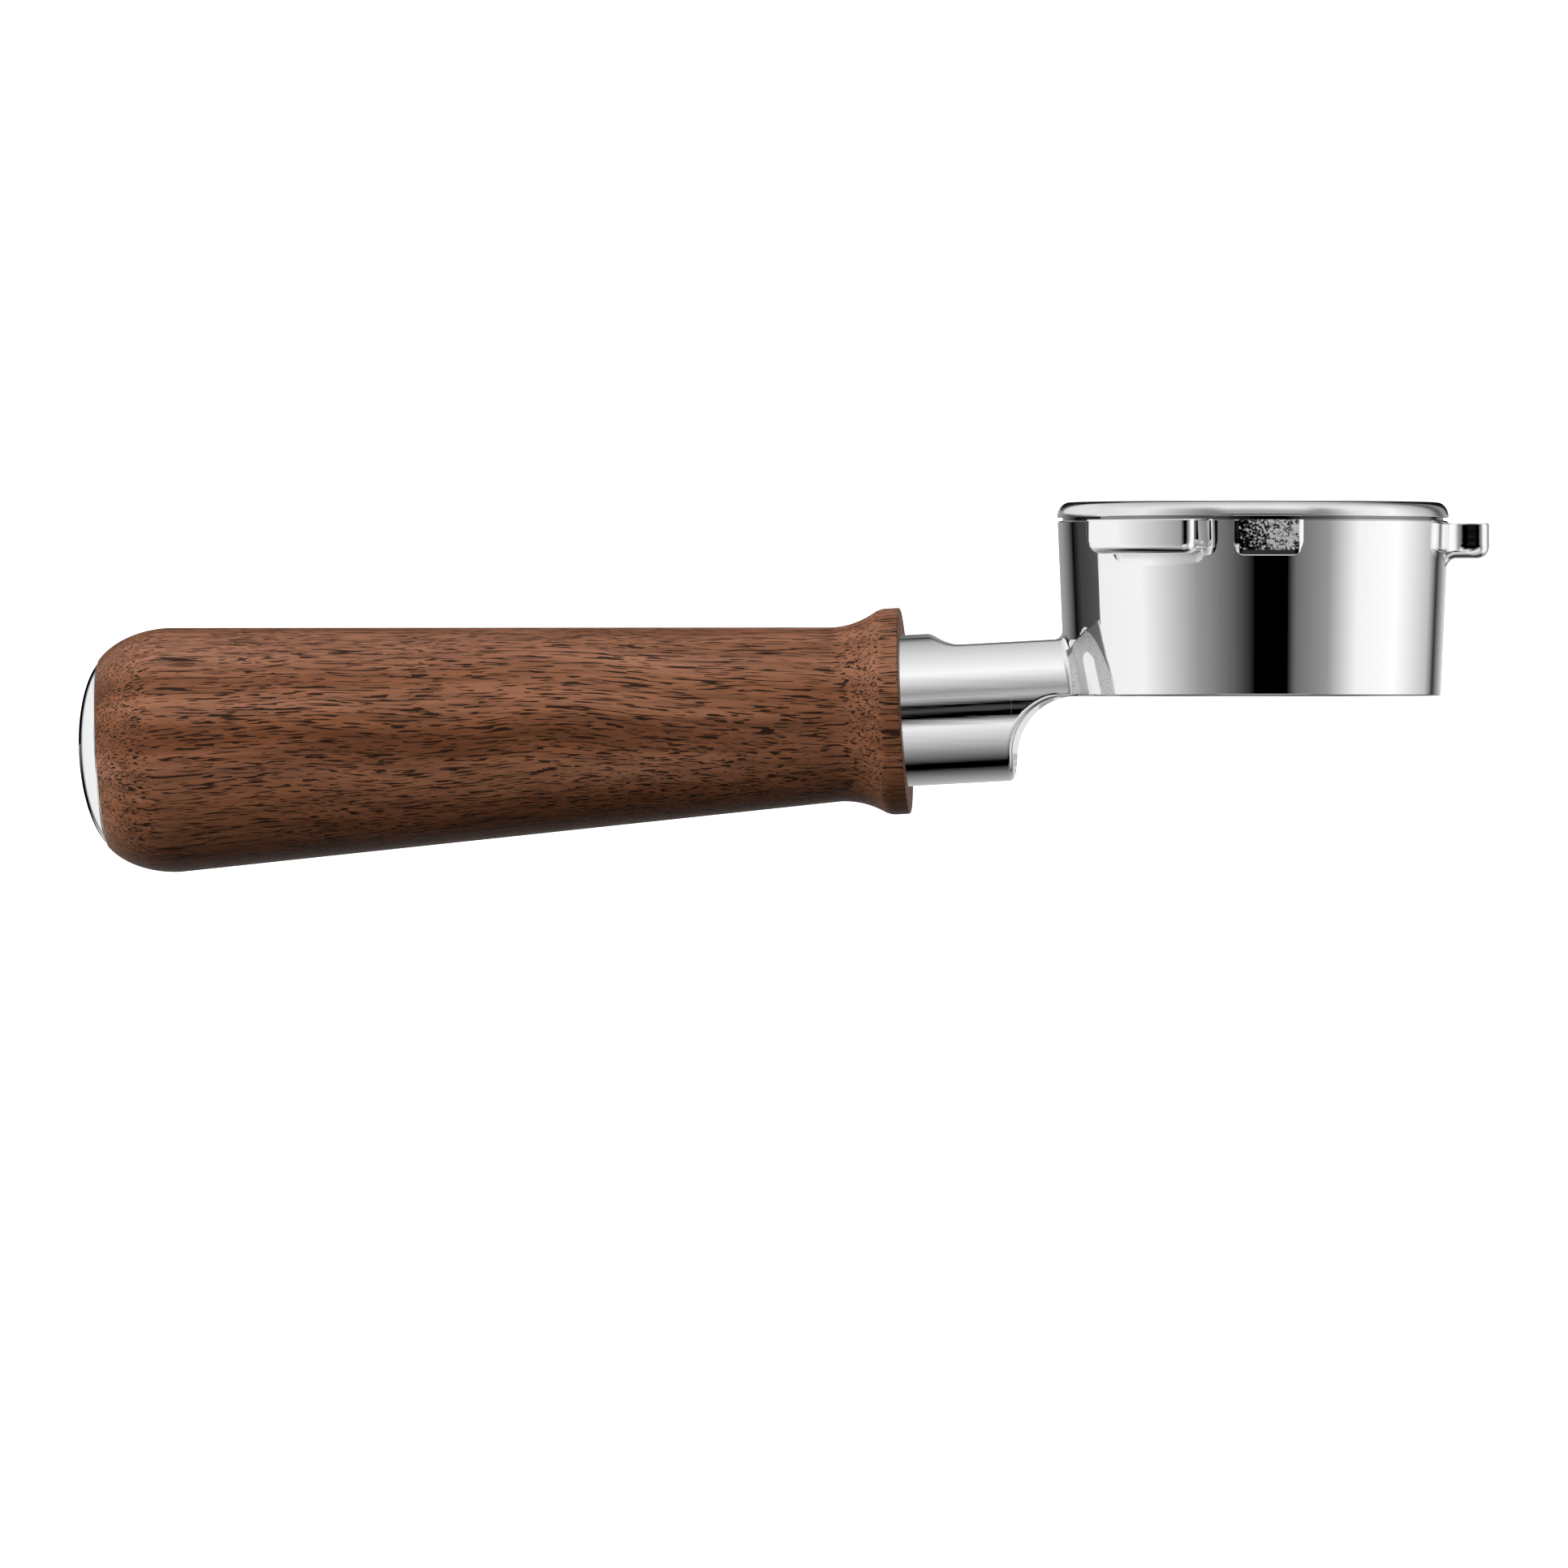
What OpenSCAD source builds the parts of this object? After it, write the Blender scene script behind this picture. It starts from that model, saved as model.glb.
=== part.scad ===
// Bottomless portafilter for a 54 mm class espresso group, in millimetres.
// +Z is up along the basket, the handle runs towards -X and the origin is on the
// basket's axis in the plane of the holder ring's top face.

/* [Holder ring] */
// Bore radius of the ring
bore_r = 28.2; // [28.1:0.1:28.4]
// Outer radius of the ring at its top face
ring_top_r = 31.2; // [31:0.1:31.6]
// Outer radius of the ring at its bottom edge
ring_bottom_r = 30.0; // [29.9:0.1:30.6]
// Depth of the ring below its top face
ring_depth = 27.95; // [27:0.05:29]

/* [Bayonet lugs] */
// Outer radius of the three lugs
lug_r = 37.7; // [36.5:0.1:38]
// Height of a lug
lug_h = 5.6; // [5:0.1:6]
// Width of the two lugs beside the handle
lug_w = 19.6; // [16:0.1:21]
// Width of the lug opposite the handle
far_lug_w = 9.6; // [8:0.1:19]
// Direction of the first lug from -Y towards +X, in degrees
lug_dir = -28; // [-32:1:-26]
// Radius of the round along a lug's lower outer edge
lug_round = 1.75; // [1:0.05:2]
// Radius of the fillet between a lug's underside and the ring
lug_fillet = 1.6; // [1:0.1:2]
// Length of the sloped root at both ends of a lug, in degrees
lug_root_deg = 3; // [2:0.5:5]
// Radius of the round at a lug's outer corners, seen from above
lug_corner_r = 1.6; // [1:0.1:2]

/* [Stop block] */
// Direction of the stop block from -Y towards +X, in degrees
block_dir = 7; // [5:0.5:9]
// Width of the stop block at its base
block_w = 11; // [10:0.1:12]
// Height of the stop block
block_h = 5.6; // [5:0.1:6]
// How far the block's face stands out of the ring
block_out = 1.2; // [0.8:0.1:1.6]
// Width of the bevel round the block's face
block_bevel = 0.7; // [0.4:0.1:0.9]

/* [Neck] */
// Radius of the neck
neck_r = 12.1; // [11.5:0.1:12.5]
// Depth of the flat relief on top of the neck
flat_depth = 2.0; // [1:0.1:2.5]
// Radius of the concave cut-away under the neck
cutaway_r = 9.3; // [8:0.1:10]

/* [Filter basket] */
// Inner radius of the basket
basket_r = 27.0; // [26.8:0.1:27.1]
// Thickness of the basket's sheet
sheet = 0.8; // [0.6:0.1:0.8]
// Outer radius of the rolled rim
rim_r = 31.25; // [31.2:0.05:31.4]
// Height of the rim's top above the ring's top face
rim_top = 2.95; // [2.9:0.05:3]
// Depth of the basket's floor below the ring's top face
floor_depth = 24.0; // [22:0.1:25]
// Rings of holes in the basket's floor
hole_rings = 13; // [10:1:13]
// Distance between neighbouring holes
hole_pitch = 1.65; // [1.6:0.05:1.8]
// Radius of a hole
hole_r = 0.2; // [0.15:0.01:0.25]

/* [Handle] */
// Angle that the handle drops below level, in degrees
axis_tilt = 3.05; // [2.5:0.05:3.5]
// Radius of the collar at the handle's front
collar_r = 16.5; // [16.2:0.1:17]
// Radius of the waist behind the collar
waist_r = 13.95; // [13.8:0.05:14.4]
// Largest radius of the handle
grip_r = 19.57; // [18:0.01:20]
// Length of the turned wood
wood_len = 128.6; // [126:0.1:130]

/* [End cap] */
// Radius of the cap where it meets the wood
cap_r = 14.4; // [14:0.1:14.8]

/* [Hidden] */
$fn = 96;
arc_steps = 10;
fit_gap = 0.05;

// Ring and basket
top_bevel = 0.25;
bottom_round = 0.6;
rim_round = 1.9;
rim_lip = 0.5;
mouth_round = 1.2;
floor_round = 2.4;
clip_wire_r = 0.7;
clip_groove_r = 0.8;
clip_r = bore_r + 0.5;
clip_z = -8;
clip_span = 300;
seat_arc_r = rim_round - sheet - fit_gap;
seat_arc_x = rim_r - rim_round;
seat_arc_z = rim_top - rim_round;
mouth_x = basket_r + mouth_round;

// Lugs: direction, how far the top sits below the ring's top, and width
LUGS = [[lug_dir, 0, lug_w], [lug_dir + 120, 0.42, far_lug_w], [lug_dir + 240, 0.2, lug_w]];
lug_embed_r = bore_r + 1.5;
lug_root_rise = 1.4;

// Handle axis: the collar's front face is centred here
collar_x = -55.56;
collar_z = -30.3;
neck_root_s = -29.5;
shoulder_s = 3;
recess_r = neck_r + fit_gap;
tenon_r = 8;
tenon_end_s = 22;
thread_r = 5;
thread_hole_s = -4;
gasket_h = 1;
flat_start_s = -9.7;
flat_runout_r = 6.9;
flat_end_s = -25.6;
cutaway_x = -28.7;
cutaway_z = -ring_depth - cutaway_r;
pin_r = 1.25;
pin_off = 10;
pin_start_s = -2;
pin_end_s = 10;

// Turned outline of the handle
land_end_s = 2.2;
flare_deg = 32;
flare_convex_r = 3.8;
flare_drop = collar_r - waist_r;
flare_concave_r = flare_drop / (1 - cos(flare_deg)) - flare_convex_r;
flare_convex_len = flare_convex_r * sin(flare_deg);
waist_s = land_end_s + flare_convex_len + flare_concave_r * sin(flare_deg);
shoulder_start_s = 117.3;
shoulder_b = 8.6;
shoulder_len = wood_len - shoulder_start_s;
shoulder_a = 12.9;
shoulder_stop = asin(shoulder_len / shoulder_a);
stud_bore_r = thread_r + 0.5;
counterbore_r = 11.5;
counterbore_s = 104;

// Clamping stack and end cap
washer_h = 1.6;
washer_r = 10.8;
lock_h = 2.2;
lock_r = 9;
lock_gap_deg = 12;
nut_h = 8;
nut_flats = 17;
stud_end_s = 118.5;
stack_s = counterbore_s + washer_h;
nut_s = stack_s + lock_h;
cap_seam = 0.35;
cap_base_s = wood_len + cap_seam;
cap_b = 15.9;
cap_a = 6.3;
spigot_r = counterbore_r - 0.1;
spigot_len = 8;
o_ring_r = 0.9;
o_ring_s = wood_len - 4;

// Points of an elliptical arc round c from angle a0 to a1
function arc(c, rx, ry, a0, a1, n = arc_steps) =
  [for (i = [0:n]) let (a = a0 + (a1 - a0) * i / n) [c.x + rx * cos(a), c.y + ry * sin(a)]];

// Radius of the ring's outer wall at height z
function wall_r(z) = ring_top_r + (ring_bottom_r - ring_top_r) * -z / ring_depth;

// Places children on the handle's axis: local +Z runs down the handle, local +X is up
module on_axis(s = 0) {
  translate([collar_x, 0, collar_z])
    rotate([0, -90 - axis_tilt, 0])
      translate([0, 0, s])
        children();
}

// Turns local +X to a direction counted from -Y towards +X
module facing(direction) {
  rotate([0, 0, direction - 90])
    children();
}

module tube(outer_r, inner_r, h) {
  difference() {
    cylinder(r = outer_r, h = h);
    translate([0, 0, -1])
      cylinder(r = inner_r, h = h + 2);
  }
}

// Ring wall with its seat for the basket's rim and the groove of the clip
module ring_wall() {
  seat_z = seat_arc_z + seat_arc_r;
  difference() {
    rotate_extrude()
      polygon(concat(
        [[bore_r, -ring_depth], [bore_r, seat_z - 0.35], [bore_r + 0.35, seat_z]],
        arc([seat_arc_x, seat_arc_z], seat_arc_r, seat_arc_r, 90, 0),
        [[seat_arc_x + seat_arc_r, 0], [ring_top_r - top_bevel, 0]],
        [[ring_top_r, -top_bevel], [wall_r(bottom_round - ring_depth), bottom_round - ring_depth]],
        arc([ring_bottom_r - bottom_round, bottom_round - ring_depth],
            bottom_round, bottom_round, 0, -90, 5)
      ));
    rotate_extrude()
      translate([clip_r, clip_z])
        circle(r = clip_groove_r, $fn = 32);
  }
}

// Lug in plan: a parallel-sided tongue with sloped roots and rounded outer corners
module lug_plan(w) {
  half = w / 2;
  root_x = ring_top_r - 0.5;
  root_deg = asin(half / root_x) + lug_root_deg;
  corner = [lug_r * cos(asin(half / lug_r)) - lug_corner_r, half - lug_corner_r];
  for (side = [-1, 1])
    scale([1, side])
      polygon(concat(
        [[0, 0], [root_x * cos(root_deg), root_x * sin(root_deg)]],
        [[ring_top_r + lug_root_rise, half]],
        arc(corner, lug_corner_r, lug_corner_r, 90, 0, 6),
        [[lug_r + 1, corner.y], [lug_r + 1, 0]]
      ));
}

// One lug: a round-edged section swept round the ring and cut to the plan
module lug(w) {
  under_r = wall_r(-lug_h) + lug_fillet;
  intersection() {
    rotate_extrude()
      polygon(concat(
        [[lug_embed_r, 0], [lug_r, 0]],
        arc([lug_r - lug_round, lug_round - lug_h], lug_round, lug_round, 0, -90),
        arc([under_r, -lug_h - lug_fillet], lug_fillet, lug_fillet, 90, 175),
        [[lug_embed_r, -lug_h - lug_fillet]]
      ));
    translate([0, 0, -2 * lug_h])
      linear_extrude(height = 3 * lug_h)
        lug_plan(w);
  }
}

// Outline of the stop block's face, shrunk all round but at the top
module block_outline(shrink) {
  corner = 1.4 - shrink / 2;
  half = block_w / 2 - shrink;
  low = shrink - block_h;
  polygon(concat(
    [[-half, 0]],
    arc([corner - half, low + corner], corner, corner, 180, 270, 5),
    arc([half - corner, low + corner], corner, corner, 270, 360, 5),
    [[half, 0]]
  ));
}

module stop_block() {
  root_r = bore_r + 1;
  plate = 0.1;
  base = ring_top_r + block_out - block_bevel - root_r;
  translate([root_r, 0, 0])
    rotate([90, 0, 90]) {
      linear_extrude(height = base)
        block_outline(0);
      hull() {
        translate([0, 0, base - plate])
          linear_extrude(height = plate)
            block_outline(0);
        translate([0, 0, base + block_bevel - plate])
          linear_extrude(height = plate)
            block_outline(block_bevel);
      }
    }
}

// Relief cut into the top of the neck: a flat with a concave run-out
module neck_relief() {
  floor_x = neck_r - flat_depth;
  on_axis() {
    translate([floor_x, -neck_r, flat_end_s])
      cube([neck_r, 2 * neck_r, flat_start_s - flat_end_s]);
    translate([floor_x + flat_runout_r, neck_r, flat_start_s])
      rotate([90, 0, 0])
        cylinder(r = flat_runout_r, h = 2 * neck_r);
  }
}

// Space under the neck that leaves the ring's bottom edge free
module neck_cutaway() {
  reach = 60;
  translate([cutaway_x, neck_r + 1, cutaway_z])
    rotate([90, 0, 0])
      cylinder(r = cutaway_r, h = 2 * neck_r + 2);
  translate([cutaway_x - cutaway_r, -neck_r - 1, cutaway_z - reach])
    cube([2 * cutaway_r, 2 * neck_r + 2, reach]);
  translate([cutaway_x, -neck_r - 1, cutaway_z - reach])
    cube([cutaway_r, 2 * neck_r + 2, reach + cutaway_r]);
}

module neck() {
  difference() {
    union() {
      on_axis(neck_root_s)
        cylinder(r = neck_r, h = shoulder_s - neck_root_s);
      on_axis(shoulder_s - 1)
        cylinder(r = tenon_r, h = tenon_end_s - shoulder_s + 1);
    }
    neck_relief();
    neck_cutaway();
    translate([0, 0, -60])
      cylinder(r = bore_r, h = 80);
    on_axis(thread_hole_s)
      cylinder(r = thread_r, h = tenon_end_s - thread_hole_s + 1);
    pin_at(pin_start_s, pin_r);
  }
}

// Cylinder on the anti-turn pin's line
module pin_at(s, r) {
  on_axis(s)
    translate([pin_off, 0, 0])
      cylinder(r = r, h = pin_end_s - pin_start_s, $fn = 32);
}

module filter_holder() {
  color("silver")
    union() {
      ring_wall();
      for (l = LUGS)
        facing(l[0])
          translate([0, 0, -l[1]])
            lug(l[2]);
      facing(block_dir)
        stop_block();
      neck();
    }
}

module filter_basket() {
  wall = basket_r + sheet;
  bend = rim_round - sheet;
  lip_r = rim_r - sheet;
  corner_x = basket_r - floor_round;
  corner_z = floor_round + sheet - floor_depth;
  color("gainsboro")
    difference() {
      rotate_extrude()
        polygon(concat(
          [[0, sheet - floor_depth]],
          arc([corner_x, corner_z], floor_round, floor_round, -90, 0),
          arc([mouth_x, rim_top - mouth_round], mouth_round, mouth_round, 180, 90),
          arc([seat_arc_x, seat_arc_z], rim_round, rim_round, 90, 0),
          [[rim_r, rim_lip], [lip_r, rim_lip]],
          arc([seat_arc_x, seat_arc_z], bend, bend, 0, 90),
          arc([mouth_x, rim_top - mouth_round], mouth_round - sheet, mouth_round - sheet, 90, 180, 5),
          [[wall, corner_z]],
          arc([corner_x, corner_z], floor_round + sheet, floor_round + sheet, 0, -90),
          [[0, -floor_depth]]
        ));
      translate([0, 0, -floor_depth - 1])
        linear_extrude(height = sheet + 2)
          floor_holes();
    }
}

// Holes of the floor: one in the middle and six more in each further ring
module floor_holes() {
  circle(r = hole_r, $fn = 16);
  for (ring = [1:hole_rings], i = [1:6 * ring])
    rotate([0, 0, 60 * i / ring])
      translate([ring * hole_pitch, 0])
        circle(r = hole_r, $fn = 16);
}

module basket_spring() {
  color("lightsteelblue")
    rotate([0, 0, clip_span / -2])
      rotate_extrude(angle = clip_span)
        translate([clip_r, clip_z])
          circle(r = clip_wire_r, $fn = 32);
}

// Turned outline of the wood as [radius, distance behind the collar's face]
function handle_outline() =
  let (
    convex = [collar_r - flare_convex_r, land_end_s],
    concave = [waist_r + flare_concave_r, waist_s],
    shoulder = [grip_r - shoulder_b, shoulder_start_s]
  )
  concat(
    [[collar_r - 0.3, 0], [collar_r, 0.3]],
    arc(convex, flare_convex_r, flare_convex_r, 0, flare_deg, 6),
    arc(concave, flare_concave_r, flare_concave_r, 180 + flare_deg, 180, 8),
    arc(shoulder, shoulder_b, shoulder_a, 0, shoulder_stop, 14)
  );

module walnut_handle() {
  color("saddlebrown")
    difference() {
      on_axis()
        rotate_extrude()
          polygon(concat([[stud_bore_r, 0]], handle_outline(), [[stud_bore_r, wood_len]]));
      on_axis(-1)
        cylinder(r = recess_r, h = shoulder_s + gasket_h + 1);
      on_axis(-1)
        cylinder(r = tenon_r + fit_gap, h = tenon_end_s + 1.5);
      on_axis(counterbore_s)
        cylinder(r = counterbore_r, h = wood_len);
      pin_at(pin_start_s + 1, pin_r);
    }
}

module neck_gasket() {
  color("dimgray")
    difference() {
      on_axis(shoulder_s)
        tube(neck_r - 0.2, tenon_r + fit_gap, gasket_h);
      pin_at(pin_start_s, pin_r);
    }
}

module anti_turn_pin() {
  color("slategray")
    pin_at(pin_start_s + 0.5, pin_r);
}

module tie_stud() {
  chamfer = 1;
  end_s = stud_end_s - chamfer;
  color("lightgray")
    on_axis() {
      translate([0, 0, thread_hole_s + 0.5])
        cylinder(r = thread_r, h = end_s - thread_hole_s - 0.5);
      translate([0, 0, end_s])
        cylinder(r1 = thread_r, r2 = thread_r - chamfer, h = chamfer);
    }
}

module flat_washer() {
  color("lightgray")
    on_axis(counterbore_s)
      tube(washer_r, thread_r + 0.25, washer_h);
}

module spring_washer() {
  color("darkgray")
    on_axis(stack_s)
      difference() {
        tube(lock_r, thread_r + 0.25, lock_h);
        rotate([lock_gap_deg, 0, 0])
          translate([0, -0.75, -lock_h])
            cube([lock_r + 1, 1.5, 4 * lock_h]);
      }
}

module clamp_nut() {
  color("lightgray")
    on_axis(nut_s)
      difference() {
        intersection() {
          cylinder(d = nut_flats / cos(30), h = nut_h, $fn = 6);
          rotate_extrude()
            polygon([
              [0, 0], [nut_flats / 2, 0], [nut_flats / 2 + 1.4, 0.8],
              [nut_flats / 2 + 1.4, nut_h - 0.8], [nut_flats / 2, nut_h], [0, nut_h]
            ]);
        }
        translate([0, 0, -1])
          cylinder(r = thread_r, h = nut_h + 2);
      }
}

module end_cap() {
  centre = [0, cap_base_s - cap_a * sqrt(1 - pow(cap_r / cap_b, 2))];
  start = acos(cap_r / cap_b);
  color("silver")
    on_axis()
      difference() {
        rotate_extrude()
          polygon(concat(
            [[0, wood_len - spigot_len], [spigot_r - 0.4, wood_len - spigot_len]],
            [[spigot_r, wood_len - spigot_len + 0.4], [spigot_r, cap_base_s - cap_seam / 2]],
            [[cap_r - 0.4, cap_base_s - cap_seam / 2]],
            arc(centre, cap_b, cap_a, start, 90, 16)
          ));
        translate([0, 0, o_ring_s])
          rotate_extrude()
            translate([spigot_r, 0])
              circle(r = o_ring_r + fit_gap, $fn = 32);
      }
}

module cap_o_ring() {
  color("black")
    on_axis(o_ring_s)
      intersection() {
        rotate_extrude()
          translate([spigot_r, 0])
            circle(r = o_ring_r, $fn = 32);
        translate([0, 0, -2])
          cylinder(r = counterbore_r, h = 4);
      }
}

filter_holder();
filter_basket();
basket_spring();
walnut_handle();
neck_gasket();
anti_turn_pin();
tie_stud();
flat_washer();
spring_washer();
clamp_nut();
end_cap();
cap_o_ring();
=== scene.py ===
"""Looks of a bottomless portafilter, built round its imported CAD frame.

Shapes are worked out in millimetres in the row's frame (+Z up, the handle towards -X) and
written to the meshes in metres. The studio round them is in metres.
"""

import math

import bmesh
import bpy
import numpy as np
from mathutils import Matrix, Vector
from mathutils.geometry import delaunay_2d_cdt


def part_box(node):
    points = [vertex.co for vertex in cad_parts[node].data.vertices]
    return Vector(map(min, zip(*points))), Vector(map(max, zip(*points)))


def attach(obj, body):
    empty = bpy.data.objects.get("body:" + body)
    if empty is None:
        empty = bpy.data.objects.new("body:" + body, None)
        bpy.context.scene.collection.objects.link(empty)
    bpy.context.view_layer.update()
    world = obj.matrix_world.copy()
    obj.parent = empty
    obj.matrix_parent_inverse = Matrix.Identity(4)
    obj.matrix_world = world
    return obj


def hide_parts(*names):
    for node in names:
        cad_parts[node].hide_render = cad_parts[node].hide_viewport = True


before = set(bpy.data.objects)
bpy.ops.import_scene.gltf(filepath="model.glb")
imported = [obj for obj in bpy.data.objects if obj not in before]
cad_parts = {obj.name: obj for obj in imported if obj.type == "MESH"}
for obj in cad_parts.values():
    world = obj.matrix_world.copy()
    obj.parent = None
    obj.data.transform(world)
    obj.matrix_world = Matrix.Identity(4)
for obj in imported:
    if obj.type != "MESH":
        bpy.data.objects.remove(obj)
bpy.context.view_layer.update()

MM = 0.001
# Points closer than this, in metres, are one
MERGE = 1e-7

# ---------------------------------------------------------------- driving dimensions

BASKET_LOW, BASKET_HIGH = (np.array(corner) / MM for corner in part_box("filter_basket"))
HOLDER_HIGH = np.array(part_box("filter_holder")[1]) / MM

# Holder ring
BORE_R = 28.2
RING_TOP_R = 31.2
RING_BOTTOM_R = 30.0
RING_DEPTH = 27.95
TOP_BEVEL = 0.25
BOTTOM_ROUND = 0.25
CLIP_Z = -8.0
CLIP_R = BORE_R + 0.5

# Bayonet lugs: direction from -Y towards +X in degrees, width, drop below the ring's top,
# height of the low pad beside the lug and radius of its root
LUG_R = HOLDER_HIGH[0]
LUG_H = 5.6
LUGS = ((-28.0, 19.6, 0.0, 0.0, 1.6), (92.0, 9.6, 0.42, 0.5, 3.4), (212.0, 19.6, 0.2, 0.0, 1.6))

# Stop block between the first two lugs
BLOCK_DIR = 7.0
BLOCK_W = 11.0
BLOCK_OUT = 1.2
BLOCK_BEVEL = 0.7
BLOCK_CORNER = 1.4

# Neck
NECK_R = 12.1
FLAT_DEPTH = 2.0
FLAT_START = 9.7
FLAT_RUNOUT_R = 6.9
FLAT_ROUND = 0.5
ROOT_FILLET = 1.4
CUT_R = 9.3
CUT_ROUND = 0.95
CUT_X = -28.7
CUT_Z = -RING_DEPTH - CUT_R

# Rough patch on the ring round the neck's root: half its angle in the plane of the ring's top
# and its growth per mm down, the height of its top at the handle and its rise per degree
ROOT_TURN = 29.4
ROOT_SPREAD = 0.61
ROOT_TOP = -24.4
ROOT_RISE = 0.22

# Polished pane in that patch: its middle, likewise, half its angle and the height of its top
PANE_TURN = 18.6
PANE_SPREAD = 0.62
PANE_HALF = 3.6
PANE_TOP = -20.9

# Filter basket
SHEET = 0.8
BASKET_R = 27.0
RIM_R = BASKET_HIGH[0]
RIM_TOP = BASKET_HIGH[2]
RIM_ROUND = 1.9
RIM_LIP = 0.5
MOUTH_ROUND = 1.2
FLOOR_Z = BASKET_LOW[2]
FLOOR_ROUND = 2.4
HOLE_RINGS = 13
HOLE_PITCH = 1.65
HOLE_R = 0.2

# Handle: the collar's front face is centred at COLLAR and the axis drops by TILT
COLLAR = np.array((-55.56, 0.0, -30.3))
TILT = math.radians(3.05)
COLLAR_R = 16.5
WAIST_R = 13.95
GRIP_R = 19.57
WOOD_LEN = 128.6
CAP_R = 14.4

AXIS = np.array((-math.cos(TILT), 0.0, -math.sin(TILT)))
AXIS_UP = np.array((-math.sin(TILT), 0.0, math.cos(TILT)))
AXIS_SIDE = np.array((0.0, 1.0, 0.0))

VIEW_AZIMUTH = math.radians(3.5)
AIM = np.array((-75.0, 0.0, -42.0))
VIEW_DISTANCE = 4000.0
VIEW_WIDTH = 250.6

# Share of the light that the plating mirrors
PLATING = 0.93

# Studio: height of its floor, and power of the soft light in watts
STAGE_Z = -0.19
WOOD_LIGHT = 7.0


# ---------------------------------------------------------------- mesh helpers


def arc(cx, cy, rx, ry, a0, a1, steps):
    """Points of an elliptical arc from angle a0 to a1, in degrees."""
    t = np.radians(np.linspace(a0, a1, steps + 1))
    return np.column_stack((cx + rx * np.cos(t), cy + ry * np.sin(t)))


def line(p, q, steps):
    """Points along a straight stretch, without its first one."""
    return np.linspace(p, q, steps + 1)[1:]


def grid_faces(nu, nv, wrap_u, wrap_v):
    """Quads over a grid of nu by nv points."""
    u, v = np.meshgrid(
        np.arange(nu if wrap_u else nu - 1),
        np.arange(nv if wrap_v else nv - 1),
        indexing="ij",
    )
    u1, v1 = (u + 1) % nu, (v + 1) % nv
    corners = (u * nv + v, u1 * nv + v, u1 * nv + v1, u * nv + v1)
    return np.stack(corners, -1).reshape(-1, 4).tolist()


def add_object(name, data):
    piece = bpy.data.objects.new(name, data)
    bpy.context.scene.collection.objects.link(piece)
    return piece


def make_object(name, points, faces, crease=30.0):
    """Object from points in mm, with smooth shading and sharp edges past the crease angle."""
    mesh = bpy.data.meshes.new(name)
    mesh.from_pydata((np.asarray(points) * MM).tolist(), [], faces)
    bm = bmesh.new()
    bm.from_mesh(mesh)
    bmesh.ops.remove_doubles(bm, verts=bm.verts, dist=MERGE)
    bmesh.ops.recalc_face_normals(bm, faces=bm.faces)
    bm.to_mesh(mesh)
    bm.free()
    mesh.shade_smooth()
    weigh_normals(mesh, math.cos(math.radians(crease)))
    return add_object(name, mesh)


def weigh_normals(mesh, least_cosine):
    """Large faces set the shading at a corner, so flat stretches stay true in the mirror."""
    vertex = np.empty(len(mesh.loops), np.int64)
    mesh.loops.foreach_get("vertex_index", vertex)
    normal = np.empty(3 * len(mesh.polygons))
    mesh.polygons.foreach_get("normal", normal)
    area = np.empty(len(mesh.polygons))
    mesh.polygons.foreach_get("area", area)
    sides = np.empty(len(mesh.polygons), np.int64)
    mesh.polygons.foreach_get("loop_total", sides)
    face = np.repeat(np.arange(len(sides)), sides)
    normal = normal.reshape(-1, 3)
    order = np.argsort(vertex, kind="stable")
    _, first, count = np.unique(vertex[order], return_index=True, return_counts=True)
    first, count = np.repeat(first, count), np.repeat(count, count)
    here = np.repeat(np.arange(len(order)), count)
    step = np.arange(len(here)) - np.repeat(np.cumsum(count) - count, count)
    own, other = face[order[here]], face[order[first[here] + step]]
    near = np.einsum("ij,ij->i", normal[own], normal[other]) > least_cosine
    weight = area[other] ** 2 * near
    total = np.stack([np.bincount(here, weight * normal[other, k]) for k in range(3)], -1)
    corner = np.empty_like(total)
    corner[order] = total / np.maximum(np.linalg.norm(total, axis=1, keepdims=True), 1e-30)
    mesh.normals_split_custom_set(corner.tolist())


def on_axis(r, s, turn):
    """Points round the handle's axis: radius, distance behind the collar's face, turn."""
    radial = np.multiply.outer(np.cos(turn), AXIS_UP) + np.multiply.outer(np.sin(turn), AXIS_SIDE)
    return COLLAR + radial[:, None, :] * r[None, :, None] + AXIS * s[None, :, None]


def round_z(r, z, turn):
    """Points round the basket's axis."""
    ring = np.column_stack((np.cos(turn), np.sin(turn), np.zeros_like(turn)))
    up = np.array((0.0, 0.0, 1.0))
    return ring[:, None, :] * r[None, :, None] + up * z[None, :, None]


def revolve(name, profile, place, segments, closed=True, crease=30.0):
    """Body of revolution of a profile of (radius, height) points, placed by on_axis or round_z."""
    profile = np.asarray(profile, float)
    turn = np.linspace(0, 2 * math.pi, segments, endpoint=False)
    points = place(profile[:, 0], profile[:, 1], turn)
    faces = grid_faces(segments, len(profile), True, closed)
    return make_object(name, points.reshape(-1, 3), faces, crease)


def place_piece(piece, body, slot, material, *nodes):
    """The piece rides on a body, shows a material and stands for CAD nodes; slot is not used."""
    piece.data.materials.clear()
    piece.data.materials.append(material)
    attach(piece, body)
    if nodes:
        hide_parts(*nodes)
    return piece


# ---------------------------------------------------------------- materials


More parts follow.
